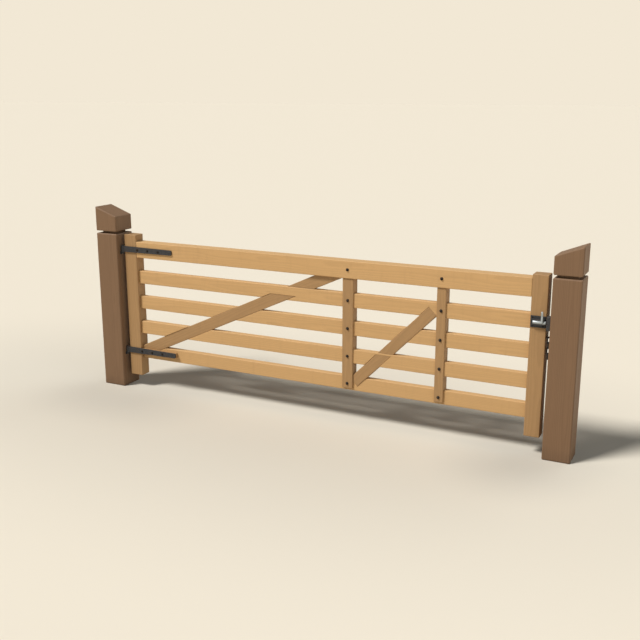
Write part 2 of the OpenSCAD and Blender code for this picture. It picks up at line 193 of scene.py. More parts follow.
def new_group(name, inputs, outputs):
    """An empty shader group with named sockets, as (tree, its inputs, its outputs)."""
    tree = bpy.data.node_groups.new(name, "ShaderNodeTree")
    for label, kind, default in inputs:
        socket = tree.interface.new_socket(label, in_out="INPUT", socket_type=kind)
        socket.default_value = default
    for label, kind in outputs:
        tree.interface.new_socket(label, in_out="OUTPUT", socket_type=kind)
    given = tree.nodes.new("NodeGroupInput")
    made = tree.nodes.new("NodeGroupOutput")
    return tree, given.outputs, made.inputs


def place_group(tree, name, **values):
    """Puts a group in a material, built the first time. Keys are socket names with _ for a space."""
    made = tree.nodes.new("ShaderNodeGroup")
    made.node_tree = bpy.data.node_groups.get(name) or GROUPS[name](name)
    for key, value in values.items():
        feed(tree, made.inputs[key.replace("_", " ")], value)
    return made.outputs


COLOUR = "NodeSocketColor"
VALUE = "NodeSocketFloat"
VECTOR = "NodeSocketVector"


def grain_axes(name):
    """Turns the piece's own coordinates so that the grain runs along X, and finds its cut ends."""
    tree, given, made = new_group(
        name,
        [("Axis", VECTOR, (0, 0, 1)), ("Pith", VECTOR, (0, 0, 0))],
        [("Grain", VECTOR), ("End", VALUE)],
    )
    place = tree.nodes.new("ShaderNodeTexCoord").outputs
    local = vector_calc(tree, "SUBTRACT", place["Object"], given["Pith"])
    across = vector_calc(tree, "CROSS_PRODUCT", given["Axis"], tuple(BACK))
    turned = tree.nodes.new("ShaderNodeCombineXYZ")
    feed(tree, turned.inputs["X"], vector_calc(tree, "DOT_PRODUCT", local, given["Axis"]))
    feed(tree, turned.inputs["Y"], vector_calc(tree, "DOT_PRODUCT", local, tuple(BACK)))
    feed(tree, turned.inputs["Z"], vector_calc(tree, "DOT_PRODUCT", local, across))
    facing = vector_calc(tree, "DOT_PRODUCT", place["Normal"], given["Axis"])
    feed(tree, made["Grain"], turned.outputs["Vector"])
    feed(tree, made["End"], spread(tree, calc(tree, "ABSOLUTE", facing), 0.72, 0.9))
    return tree


def timber_grain(name):
    """Growth rings, fibres and slow changes of tone, as a colour, a roughness and a height."""
    tree, given, made = new_group(
        name,
        [
            ("Grain", VECTOR, (0, 0, 0)),
            ("End", VALUE, 0.0),
            ("Pale", COLOUR, (0.6, 0.4, 0.2, 1)),
            ("Deep", COLOUR, (0.4, 0.25, 0.1, 1)),
            ("Ring Width", VALUE, 0.007),
            ("Figure", VALUE, 0.5),
        ],
        [("Color", COLOUR), ("Roughness", VALUE), ("Height", VALUE)],
    )
    grain = given["Grain"]
    sway = cloud(tree, vector_calc(tree, "MULTIPLY", grain, (0.9, 5.0, 5.0)), 1.0, 2.0)
    bent = tree.nodes.new("ShaderNodeCombineXYZ")
    feed(tree, bent.inputs["Y"], calc(tree, "MULTIPLY", sway, 0.055))
    feed(tree, bent.inputs["Z"], calc(tree, "MULTIPLY", sway, 0.035))
    bowed = vector_calc(tree, "ADD", grain, bent.outputs["Vector"])
    flat = vector_calc(tree, "MULTIPLY", bowed, (0.0, 1.0, 1.0))
    turns = calc(tree, "DIVIDE", vector_calc(tree, "LENGTH", flat), given["Ring Width"])
    saw = calc(tree, "FRACT", turns)
    early = spread(tree, saw, 0.15, 0.85)
    late = spread(tree, saw, 0.88, 1.0)
    ring = calc(tree, "SUBTRACT", early, late)
    fibre = cloud(tree, vector_calc(tree, "MULTIPLY", grain, (2.5, 330, 330)), 1.0, 3.0, 0.6)
    pore = cloud(tree, vector_calc(tree, "MULTIPLY", grain, (22, 900, 900)), 1.0, 1.0)
    pores = spread(tree, pore, 0.62, 0.72)
    patch = cloud(tree, vector_calc(tree, "MULTIPLY", grain, (1.1, 7.0, 7.0)), 1.0, 2.0)
    figured = calc(tree, "MULTIPLY", calc(tree, "SUBTRACT", ring, 0.5), given["Figure"])
    streaked = calc(tree, "MULTIPLY", calc(tree, "SUBTRACT", fibre, 0.5), 1.1)
    toned = calc(tree, "MULTIPLY", calc(tree, "SUBTRACT", patch, 0.5), 0.5)
    depth = calc(tree, "ADD", calc(tree, "ADD", figured, streaked), calc(tree, "ADD", toned, 0.5))
    depth = calc(tree, "ADD", depth, calc(tree, "MULTIPLY", pores, 0.28), clamp=True)
    face = tint(tree, depth, given["Pale"], given["Deep"])
    cut_depth = calc(tree, "ADD", calc(tree, "MULTIPLY", ring, 0.55), 0.42, clamp=True)
    cut = tint(tree, cut_depth, given["Pale"], given["Deep"])
    cut = tint(tree, 0.1, cut, (0.12, 0.07, 0.035, 1), "MULTIPLY")
    feed(tree, made["Color"], tint(tree, given["End"], face, cut))
    dry = calc(tree, "ADD", 0.56, calc(tree, "MULTIPLY", depth, 0.16))
    feed(tree, made["Roughness"], calc(tree, "ADD", dry, calc(tree, "MULTIPLY", given["End"], 0.1)))
    rise = calc(tree, "SUBTRACT", calc(tree, "MULTIPLY", fibre, 0.6), calc(tree, "MULTIPLY", pores, 0.5))
    feed(tree, made["Height"], calc(tree, "ADD", rise, calc(tree, "MULTIPLY", ring, 0.35)))
    return tree


def weather_marks(name):
    """Damp darkening at the foot of a timber and faint run marks down it."""
    tree, given, made = new_group(
        name,
        [
            ("Color", COLOUR, (0.5, 0.4, 0.2, 1)),
            ("Stain", COLOUR, (0.1, 0.08, 0.06, 1)),
            ("Foot", VALUE, 0.12),
            ("Amount", VALUE, 0.4),
        ],
        [("Color", COLOUR), ("Roughness", VALUE)],
    )
    place = tree.nodes.new("ShaderNodeTexCoord").outputs["Object"]
    parts = tree.nodes.new("ShaderNodeSeparateXYZ")
    feed(tree, parts.inputs[0], place)
    edge = calc(tree, "MULTIPLY", calc(tree, "SUBTRACT", cloud(tree, place, 9.0, 4.0), 0.5), 0.14)
    height = calc(tree, "ADD", parts.outputs["Z"], edge)
    top = calc(tree, "MULTIPLY", given["Foot"], 2.0)
    damp = calc(tree, "SUBTRACT", 1.0, spread(tree, height, 0.0, top))
    runs = cloud(tree, vector_calc(tree, "MULTIPLY", place, (34, 34, 6.0)), 1.0, 2.0)
    marks = calc(tree, "MULTIPLY", spread(tree, runs, 0.5, 0.85), 0.3)
    mask = calc(tree, "MULTIPLY", calc(tree, "MAXIMUM", damp, marks), given["Amount"], clamp=True)
    feed(tree, made["Color"], tint(tree, mask, given["Color"], given["Stain"]))
    feed(tree, made["Roughness"], calc(tree, "MULTIPLY", mask, 0.12))
    return tree


def worn_edges(name):
    """A normal that is rounded over the edges, and a mask of where the edges are."""
    tree, given, made = new_group(
        name,
        [("Radius", VALUE, 0.005)],
        [("Edge", VALUE), ("Normal", VECTOR)],
    )
    rounded = tree.nodes.new("ShaderNodeBevel")
    rounded.samples = 6
    feed(tree, rounded.inputs["Radius"], given["Radius"])
    faced = tree.nodes.new("ShaderNodeNewGeometry").outputs["Normal"]
    same = vector_calc(tree, "DOT_PRODUCT", rounded.outputs["Normal"], faced)
    feed(tree, made["Edge"], spread(tree, same, 0.99, 0.8))
    feed(tree, made["Normal"], rounded.outputs["Normal"])
    return tree


def forged_skin(name):
    """Mill scale, hammer dimples and specks of rust on iron."""
    tree, given, made = new_group(
        name,
        [
            ("Scale Color", COLOUR, (0.05, 0.05, 0.055, 1)),
            ("Rust", COLOUR, (0.12, 0.05, 0.02, 1)),
            ("Rust Amount", VALUE, 0.25),
            ("Polish", VALUE, 0.0),
        ],
        [("Color", COLOUR), ("Roughness", VALUE), ("Height", VALUE)],
    )
    place = tree.nodes.new("ShaderNodeTexCoord").outputs["Object"]
    mottle = cloud(tree, place, 95.0, 5.0, 0.6)
    speck = spread(tree, cloud(tree, place, 210.0, 3.0, 0.65), 0.57, 0.72)
    bloom = spread(tree, cloud(tree, place, 24.0, 4.0), 0.5, 0.72)
    rust = calc(tree, "MULTIPLY", calc(tree, "MAXIMUM", speck, bloom), given["Rust Amount"], clamp=True)
    dark = tint(tree, 0.25, given["Scale Color"], (0.0, 0.0, 0.0, 1))
    light = tint(tree, 0.015, given["Scale Color"], (1.0, 1.0, 1.0, 1))
    skin = tint(tree, spread(tree, mottle, 0.3, 0.75), dark, light)
    feed(tree, made["Color"], tint(tree, rust, skin, given["Rust"]))
    matt = calc(tree, "ADD", 0.48, calc(tree, "MULTIPLY", mottle, 0.25))
    matt = calc(tree, "ADD", matt, calc(tree, "MULTIPLY", rust, 0.3))
    polished = calc(tree, "MULTIPLY", given["Polish"], 0.3)
    feed(tree, made["Roughness"], calc(tree, "SUBTRACT", matt, polished))
    dimple = tree.nodes.new("ShaderNodeTexVoronoi")
    dimple.feature = "SMOOTH_F1"
    feed(tree, dimple.inputs["Vector"], place)
    dimple.inputs["Scale"].default_value = 70.0
    beaten = calc(tree, "MULTIPLY", dimple.outputs["Distance"], 0.8)
    feed(tree, made["Height"], calc(tree, "ADD", beaten, calc(tree, "MULTIPLY", mottle, 0.4)))
    return tree


GROUPS = {
    "Grain Axes": grain_axes,
    "Timber Grain": timber_grain,
    "Weather Marks": weather_marks,
    "Worn Edges": worn_edges,
    "Forged Skin": forged_skin,
}


# Materials.


def blank_material(name):
    """A new material, as (material, its tree, its Principled shader)."""
    material = bpy.data.materials.new(name)
    material.use_nodes = True
    tree = material.node_tree
    return material, tree, tree.nodes["Principled BSDF"]


def bumped(tree, shader, height, depth, strength, normal):
    """Gives a shader a bump of that depth in metres, on top of a normal."""
    bump = tree.nodes.new("ShaderNodeBump")
    bump.inputs["Distance"].default_value = depth
    bump.inputs["Strength"].default_value = strength
    feed(tree, bump.inputs["Height"], height)
    feed(tree, bump.inputs["Normal"], normal)
    feed(tree, shader.inputs["Normal"], bump.outputs["Normal"])


def scaled(colour, factor):
    """A colour made lighter or darker, as RGBA."""
    return (*(min(1.0, channel * factor) for channel in colour), 1.0)


def timber_material(name, colour, axis, pith, figure, softness):
    """Oiled timber with its grain along axis and its rings round a line through pith."""
    look = bpy.context.scene.field_gate_timber
    material, tree, shader = blank_material(name)
    axes = place_group(tree, "Grain Axes", Axis=tuple(axis), Pith=tuple(pith))
    grain = place_group(
        tree,
        "Timber Grain",
        Grain=axes["Grain"],
        End=axes["End"],
        Pale=scaled(colour, 1 + look.grain_contrast),
        Deep=scaled(colour, 1 - look.grain_contrast),
        Ring_Width=look.ring_width,
        Figure=figure,
    )
    marks = place_group(
        tree,
        "Weather Marks",
        Color=grain["Color"],
        Stain=scaled(colour, 0.38),
        Foot=look.damp_foot,
        Amount=look.weathering,
    )
    edges = place_group(tree, "Worn Edges", Radius=softness)
    rubbed = calc(tree, "MULTIPLY", edges["Edge"], look.edge_wear)
    worn = tint(tree, rubbed, marks["Color"], scaled(colour, 1.25))
    feed(tree, shader.inputs["Base Color"], worn)
    feed(tree, shader.inputs["Roughness"], calc(tree, "ADD", grain["Roughness"], marks["Roughness"]))
    shader.inputs["Specular IOR Level"].default_value = 0.5
    bumped(tree, shader, grain["Height"], 0.0005, 0.4, edges["Normal"])
    return material


def iron_material(name, colour, rust, metallic, shine, polish=0.0):
    """Forged iron, or bright steel where polish is high."""
    material, tree, shader = blank_material(name)
    skin = place_group(
        tree,
        "Forged Skin",
        Scale_Color=scaled(colour, 1.0),
        Rust_Amount=rust,
        Polish=polish,
    )
    feed(tree, shader.inputs["Base Color"], skin["Color"])
    feed(tree, shader.inputs["Roughness"], skin["Roughness"])
    shader.inputs["Metallic"].default_value = metallic
    shader.inputs["Specular IOR Level"].default_value = shine
    edges = place_group(tree, "Worn Edges", Radius=0.0015)
    bumped(tree, shader, skin["Height"], 0.0005, 0.3, edges["Normal"])
    return material


def kept_iron(name, colour, **finish):
    """The iron material of that name, built the first time it is asked for."""
    return bpy.data.materials.get(name) or iron_material(name, colour, **finish)


def dark_iron():
    """Forged iron of the straps, hooks, plate, keep and chain."""
    look = bpy.context.scene.field_gate_iron
    return kept_iron("dark_iron", look.iron_colour, rust=0.12, metallic=0.15, shine=0.35)


def black_bolt_iron():
    """Blackened iron of the bolts and screws."""
    look = bpy.context.scene.field_gate_iron
    return kept_iron("black_bolt_iron", look.bolt_colour, rust=0.1, metallic=0.0, shine=0.15)


def bright_steel():
    """Worn steel of the sliding bolt."""
    look = bpy.context.scene.field_gate_iron
    return kept_iron(
        "bright_steel", look.steel_colour, rust=0.05, metallic=0.75, shine=0.5, polish=0.4
    )


# Mesh building blocks.


def cad_shell(node):
    """A CAD node's mesh with its flat faces whole again."""
    shell = bmesh.new()
    shell.from_mesh(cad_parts[node].data)
    bmesh.ops.remove_doubles(shell, verts=shell.verts, dist=1e-6)
    bmesh.ops.dissolve_limit(shell, angle_limit=FLAT_TURN, verts=shell.verts, edges=shell.edges)
    return shell


def round_edges(shell, radius, segments, sharper_than=24):
    """Rounds the outer edges that turn by more than that many degrees."""
    turn = math.radians(sharper_than)
    edges = [e for e in shell.edges if e.is_convex and e.calc_face_angle(0) > turn]
    bmesh.ops.bevel(
        shell,
        geom=edges,
        offset=radius,
        offset_type="OFFSET",
        segments=segments,
        profile=0.5,
        affect="EDGES",
        clamp_overlap=True,
    )


def slice_along(shell, axis, step):
    """Cuts a timber's faces across at every step, so that it can waver."""
    reach = [v.co.dot(axis) for v in shell.verts]
    count = int((max(reach) - min(reach)) / step)
    for i in range(1, count + 1):
        bmesh.ops.bisect_plane(
            shell,
            geom=shell.verts[:] + shell.edges[:] + shell.faces[:],
            dist=1e-6,
            plane_co=axis * (min(reach) + i * step),
            plane_no=axis,
        )


def waver(shell, amount, size):
    """Moves the surface by a slow noise that runs on from one timber to the next."""
    noise.seed_set(WAVER_SEED)
    for vert in shell.verts:
        vert.co += noise.noise_vector(vert.co / size) * amount


def finished(name, shell, body, material, replaced=()):
    """Makes a smooth-shaded piece of a mesh, on its body."""
    bmesh.ops.recalc_face_normals(shell, faces=shell.faces)
    mesh = bpy.data.meshes.new(name)
    shell.to_mesh(mesh)
    shell.free()
    mesh.shade_smooth()
    mesh.set_sharp_from_angle(angle=math.radians(40))
    mesh.materials.append(material)
    piece = bpy.data.objects.new(name, mesh)
    bpy.context.scene.collection.objects.link(piece)
    weighted = piece.modifiers.new("even_shading", "WEIGHTED_NORMAL")
    weighted.keep_sharp = True
    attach(piece, body)
    if replaced:
        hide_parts(*replaced)
    return piece


def turned(shell, profile, base, axis, sides=24):
    """Adds a solid of revolution: profile is (radius, height) from the axis out and back to it."""
    to_axis = UP.rotation_difference(axis).to_matrix().to_4x4()
    place = Matrix.Translation(base) @ to_axis
    rings = []
    for radius, height in profile:
        if radius == 0:
            rings.append([shell.verts.new(place @ Vector((0, 0, height)))])
            continue
        angles = (2 * math.pi * i / sides for i in range(sides))
        rings.append(
            [
                shell.verts.new(place @ Vector((radius * math.cos(a), radius * math.sin(a), height)))
                for a in angles
            ]
        )
    for lower, upper in zip(rings, rings[1:]):
        for i in range(sides):
            j = (i + 1) % sides
            if len(lower) == 1:
                shell.faces.new((lower[0], upper[i], upper[j]))
            elif len(upper) == 1:
                shell.faces.new((lower[j], lower[i], upper[0]))
            else:
                shell.faces.new((lower[i], lower[j], upper[j], upper[i]))


def dome_head(shell, base, axis, radius, height):
    """A domed bolt head on a thin washer."""
    rim = radius * 1.28
    washer = 0.22 * height
    turned(
        shell,
        [(0, 0), (rim, 0), (rim, 0.7 * washer), (rim - 0.3 * washer, washer), (0, washer)],
        base,
        axis,
    )
    dome = [(0, washer), (radius, washer), (radius, washer + 0.12 * height)]
    for turn in (20, 40, 58, 74):
        a = math.radians(turn)
        dome.append((radius * math.cos(a), washer + height * (0.12 + 0.88 * math.sin(a))))
    dome.append((0, washer + height))
    turned(shell, dome, base, axis)


def nut_and_end(shell, base, axis, radius):
    """A washer, a chamfered hexagon nut and the threaded end of the bolt."""
    washer = 0.3 * radius
    turned(
        shell,
        [(0, 0), (2.1 * radius, 0), (2.1 * radius, washer), (0, washer)],
        base,
        axis,
    )
    flat = 1.85 * radius
    tall = washer + 1.6 * radius
    turned(
        shell,
        [
            (0, washer),
            (flat, washer),
            (flat, tall - 0.25 * radius),
            (flat * 0.88, tall),
            (0, tall),
        ],
        base,
        axis,
        sides=6,
    )
    thread = [(0, tall - 0.1 * radius), (radius, tall - 0.1 * radius)]
    for i in range(4):
        thread.append((radius, tall + (0.1 + 0.28 * i) * radius))
        thread.append((0.86 * radius, tall + (0.24 + 0.28 * i) * radius))
    thread.append((0.8 * radius, tall + 1.3 * radius))
    thread.append((0, tall + 1.3 * radius))
    turned(shell, thread, base, axis, sides=16)


def slotted_screw(shell, base, axis, radius):
    """A low domed screw head: a rim with two half domes on it, apart by the slot."""
    rim = 0.2 * radius
    seat = 0.6 * rim
    turned(shell, [(0, 0), (radius, 0), (radius, rim), (0, rim)], base, axis)
    for side in (-1, 1):
        half = bmesh.new()
        dome = [(0, seat), (0.96 * radius, seat), (0.72 * radius, 0.5 * radius), (0, 0.62 * radius)]
        turned(half, dome, base, axis)
        across = axis.orthogonal().normalized() * side
        cut = bmesh.ops.bisect_plane(
            half,
            geom=half.verts[:] + half.edges[:] + half.faces[:],
            plane_co=base + across * 0.13 * radius,
            plane_no=across,
            clear_inner=True,
        )
        rim_edges = [part for part in cut["geom_cut"] if isinstance(part, bmesh.types.BMEdge)]
        bmesh.ops.edgeloop_fill(half, edges=rim_edges)
        bmesh.ops.dissolve_limit(half, angle_limit=FLAT_TURN, verts=half.verts, edges=half.edges)
        mesh = bpy.data.meshes.new("half_head")
        half.to_mesh(mesh)
        half.free()
        shell.from_mesh(mesh)
        bpy.data.meshes.remove(mesh)


def middle(node):
    """The middle of a CAD node's box."""
    low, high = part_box(node)
    return (low + high) / 2


# Settings.


class FieldGateTimber(PropertyGroup):
    """Colours and wear of the timber."""

    post_colour: FloatVectorProperty(
        name="Post colour",
        description="Dark stained timber of the posts and caps",
        subtype="COLOR",
        min=0,
        max=1,
        default=(0.186, 0.101, 0.0478),
    )
    rail_colour: FloatVectorProperty(
        name="Rail colour",
        description="Pale timber of the five rails",
        subtype="COLOR",
        min=0,
        max=1,
        default=(0.554, 0.327, 0.133),
    )
    frame_colour: FloatVectorProperty(
        name="Frame colour",
        description="Mid-brown timber of stiles, uprights and braces",
        subtype="COLOR",
        min=0,
        max=1,
        default=(0.364, 0.207, 0.0845),
    )
    grain_contrast: FloatProperty(
        name="Grain contrast",
        description="How far the grain is lighter and darker than the timber's colour",
        subtype="FACTOR",
        min=0,
        max=0.6,
        default=0.09,
    )
    ring_width: FloatProperty(
        name="Ring width",
        description="Spacing of the growth rings",
        unit="LENGTH",
        min=0.001,
        default=0.008,
    )
    damp_foot: FloatProperty(
        name="Damp foot",
        description="Height to which ground damp darkens a timber",
        unit="LENGTH",
        min=0.01,
        default=0.05,
    )
    weathering: FloatProperty(
        name="Weathering",
        description="Strength of damp and run marks",
        subtype="FACTOR",
        min=0,
        max=1,
        default=0.3,
    )
    edge_radius: FloatProperty(
        name="Edge radius",
        description="Rounding of the timber's chamfered edges",
        unit="LENGTH",
        min=0.0005,
        default=0.0012,
    )
    edge_wear: FloatProperty(
        name="Edge wear",
        description="How far the edges are rubbed to a lighter tone",
        subtype="FACTOR",
        min=0,
        max=1,
        default=0.35,
    )
    post_softness: FloatProperty(
        name="Post softness",
        description="Width over which light turns round the edges of posts and caps",
        unit="LENGTH",
        min=0.001,
        default=0.009,
    )
    leaf_softness: FloatProperty(
        name="Leaf softness",
        description="Width over which light turns round the edges of the leaf's timbers",
        unit="LENGTH",
        min=0.001,
        default=0.005,
    )
    unevenness: FloatProperty(
        name="Unevenness",
        description="How far the planed faces waver",
        unit="LENGTH",
        min=0,
        default=0.0006,
    )
    slice_step: FloatProperty(
        name="Slice step",
        description="Spacing of the cuts that let a timber waver",
        unit="LENGTH",
        min=0.02,
        default=0.09,
    )


class FieldGateIron(PropertyGroup):
    """Colours and sizes of the ironwork."""

    iron_colour: FloatVectorProperty(
        name="Iron colour",
        description="Forged straps, hooks, plate, keep and chain",
        subtype="COLOR",
        min=0,
        max=1,
        default=(0.036, 0.036, 0.038),
    )
    bolt_colour: FloatVectorProperty(
        name="Bolt colour",
        description="Blackened bolts and screws",
        subtype="COLOR",
        min=0,
        max=1,
        default=(0.02, 0.013, 0.009),
    )
    steel_colour: FloatVectorProperty(
        name="Steel colour",
        description="Bright sliding bolt",
        subtype="COLOR",
        min=0,
        max=1,
        default=(0.47, 0.51, 0.53),
    )
    edge_radius: FloatProperty(
        name="Edge radius",
        description="Rounding of the iron's edges",
        unit="LENGTH",
        min=0.0002,
        default=0.0012,
    )
    bolt_head: FloatProperty(
        name="Bolt head",
        description="Radius of the domed bolt heads",
        unit="LENGTH",
        min=0.004,
        default=0.0085,
    )


class FieldGateStage(PropertyGroup):
    """Floor, lights and camera."""

    backdrop_colour: FloatVectorProperty(
        name="Backdrop colour",
        description="Cream that the camera sees round the gate",
        subtype="COLOR",
        min=0,
        max=1,
        default=(0.888, 0.807, 0.665),
    )
    floor_colour: FloatVectorProperty(
        name="Floor colour",
        description="Pale floor under the gate",
        subtype="COLOR",
        min=0,
        max=1,
        default=(0.833, 0.748, 0.610),
    )
    # Strength of the soft shadow painted on the floor round the gate.
    floor_painted_shadow: FloatProperty(
        name="Floor pool",
        description="How much darker the floor is round the gate",
        subtype="FACTOR",
        min=0,
        max=1,
        default=0.19,
    )
    # Strength of the shadows painted on the floor at the posts' feet.
    foot_painted_shadow: FloatProperty(
        name="Foot shade",
        description="How much darker the floor is at the posts' feet",
        subtype="FACTOR",
        min=0,
        max=1,
        default=0.2,
    )
    key_strength: FloatProperty(
        name="Key strength", description="Main light from the front left", min=0, default=3.5
    )
    fill_strength: FloatProperty(
        name="Fill strength", description="Low soft light from the right", min=0, default=0.76
    )
    rim_strength: FloatProperty(
        name="Rim strength", description="Soft light from behind on the right", min=0, default=0.46
    )
    sky_strength: FloatProperty(
        name="Sky strength", description="Even light from all round", min=0, default=0.062
    )
    soft_colour: FloatVectorProperty(
        name="Soft light colour",
        description="Slightly cool colour of the sky, the fill and the rim light",
        subtype="COLOR",
        min=0,
        max=1,
        default=(0.88, 0.95, 1.0),
    )
    camera_place: FloatVectorProperty(
        name="Camera place",
        description="Where the camera stands",
        subtype="XYZ",
        unit="LENGTH",
        default=(4.53, -5.4907, 2.2805),
    )
    camera_turn: FloatProperty(
        name="Camera turn",
        description="How far the camera looks to the left of straight back",
        subtype="ANGLE",
        default=math.radians(26.534),
    )
    camera_tilt: FloatProperty(
        name="Camera tilt",
        description="How far the camera looks down",
        subtype="ANGLE",
        default=math.radians(14.312),
    )
    camera_lens: FloatProperty(
        name="Camera lens", description="Focal length on a 36 mm sensor", default=50.487
    )


# Operators.


def timber_piece(node, body, colour, axis, pith, figure):
    """Replaces a CAD timber by one with rounded, slightly wavering faces and its own grain."""
    look = bpy.context.scene.field_gate_timber
    shell = cad_shell(node)
    round_edges(shell, look.edge_radius, 2)
    slice_along(shell, axis, look.slice_step)
    waver(shell, look.unevenness, WAVER_SIZE)
    softness = look.post_softness if body == "posts" else look.leaf_softness
    material = timber_material(f"{node}_timber", colour, axis, pith, figure, softness)
    return finished(f"{node}.timber", shell, body, material, [node])


def iron_piece(node, body, material):
    """Replaces a CAD iron piece by one with softened edges."""
    look = bpy.context.scene.field_gate_iron
    shell = cad_shell(node)
    round_edges(shell, look.edge_radius, 2, 35)
    return finished(f"{node}.iron", shell, body, material, [node])


class FIELDGATE_OT_posts(Operator):
    """Dress the two posts and their caps"""

    bl_idname = "field_gate.posts"
    bl_label = "Posts and caps"

    def execute(self, context):
        look = context.scene.field_gate_timber
        for node in POST_TIMBERS:
            heart = middle(node) + Vector((0.021, -0.013, 0))
            timber_piece(node, "posts", look.post_colour, UP, heart, 0.5)
        return {"FINISHED"}


class FIELDGATE_OT_leaf(Operator):
    """Dress the timbers of the swinging leaf"""

    bl_idname = "field_gate.leaf"
    bl_label = "Leaf timbers"

    def execute(self, context):
        look = context.scene.field_gate_timber
        for i, node in enumerate(STILES + UPRIGHTS):
            pith = middle(node) + Vector((0.05 - 0.03 * i, 0.11, 0))
            timber_piece(node, "gate", look.frame_colour, UP, pith, 0.45)
        for i, node in enumerate(RAILS):
            pith = middle(node) + Vector((0, 0.09, 0.05 - 0.03 * i))
            timber_piece(node, "gate", look.rail_colour, ALONG, pith, 0.4)
        for node in BRACES:
            low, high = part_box(node)
            slope = Vector((high.x - low.x, 0, high.z - low.z)).normalized()
            pith = middle(node) + Vector((0, 0.1, 0.03))
            timber_piece(node, "gate", look.frame_colour, slope, pith, 0.45)
        pith = middle("lower_strap_packing") + Vector((0, 0.06, 0.04))
        timber_piece(
            "lower_strap_packing", "gate", look.frame_colour, ALONG, pith, 0.6
        )
        return {"FINISHED"}


class FIELDGATE_OT_hinges(Operator):
    """Dress the hinge straps and the hooks that carry them"""

    bl_idname = "field_gate.hinges"
    bl_label = "Hinges"

    def execute(self, context):
        for level in ("upper", "lower"):
            iron_piece(f"{level}_hinge_hook", "posts", dark_iron())
            iron_piece(f"{level}_hinge_strap", "gate", dark_iron())
        return {"FINISHED"}


class FIELDGATE_OT_latch(Operator):
    """Dress the latch plate, the sliding bolt and the keep"""

    bl_idname = "field_gate.latch"
    bl_label = "Latch"

    def execute(self, context):
        iron_piece("latch_plate", "gate", dark_iron())
        iron_piece("latch_keep", "posts", dark_iron())
        iron_piece("latch_bolt", "bolt", bright_steel())
        return {"FINISHED"}


class FIELDGATE_OT_chain(Operator):
    """Dress the chain and its staple"""

    bl_idname = "field_gate.chain"
    bl_label = "Chain"

    def execute(self, context):
        iron_piece("chain_staple", "gate", dark_iron())
        iron_piece("latch_chain", "gate", dark_iron())
        return {"FINISHED"}


class FIELDGATE_OT_fixings(Operator):
    """Add the bolts at the crossings, on the straps, on the latch plate and on the keep"""

    bl_idname = "field_gate.fixings"
    bl_label = "Bolts and screws"

    def execute(self, context):
        look = context.scene.field_gate_iron
        self.crossing_bolts(look.bolt_head)
        self.strap_bolts(look.bolt_head)
        self.latch_screws()
        return {"FINISHED"}

    @staticmethod
    def crossing_bolts(radius):
        """A through bolt where each upright meets each rail."""
        shell = bmesh.new()
        for upright in UPRIGHTS:
            for rail in RAILS:
                x = middle(upright).x
                z = middle(rail).z
                outer = rail if rail == "top_rail" else upright
                low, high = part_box(outer)
                dome_head(shell, Vector((x, low.y, z)), FRONT, radius, CROSSING_HEAD_HEIGHT)
                nut_and_end(shell, Vector((x, high.y, z)), BACK, THREAD_RADIUS)
        finished("crossing_bolts", shell, "gate", black_bolt_iron())

    @staticmethod
    def strap_bolts(radius):
        """Three bolts through each hinge strap."""
        shell = bmesh.new()
        for level in ("upper", "lower"):
            low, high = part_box(f"{level}_hinge_strap")
            centre = (low.z + high.z) / 2
            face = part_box("hanging_stile")[0].y - STRAP_THICKNESS
            for share in STRAP_BOLT_SHARES:
                x = low.x + share * (high.x - low.x)
                place = Vector((x, face, centre))
                dome_head(shell, place, FRONT, radius * 0.9, STRAP_HEAD_HEIGHT)
        finished("strap_bolts", shell, "gate", black_bolt_iron())

    @staticmethod
    def latch_screws():
        """Four screws in the latch plate's corners and two in the keep."""
        shell = bmesh.new()
        low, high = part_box("latch_plate")
        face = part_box("shutting_stile")[0].y - PLATE_THICKNESS
        left, right, end = PLATE_SCREW_INSETS
        for x in (low.x + left, high.x - right):
            for z in (low.z + end, high.z - end):
                slotted_screw(shell, Vector((x, face, z)), FRONT, SCREW_RADIUS)
        finished("latch_plate_screws", shell, "gate", black_bolt_iron())
        shell = bmesh.new()
        low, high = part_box("latch_keep")
        across = (low.y + high.y) / 2
        for z in (low.z + KEEP_SCREW_INSET, high.z - KEEP_SCREW_INSET):
            slotted_screw(shell, Vector((low.x, across, z)), -ALONG, SCREW_RADIUS)
        finished("latch_keep_screws", shell, "posts", black_bolt_iron())


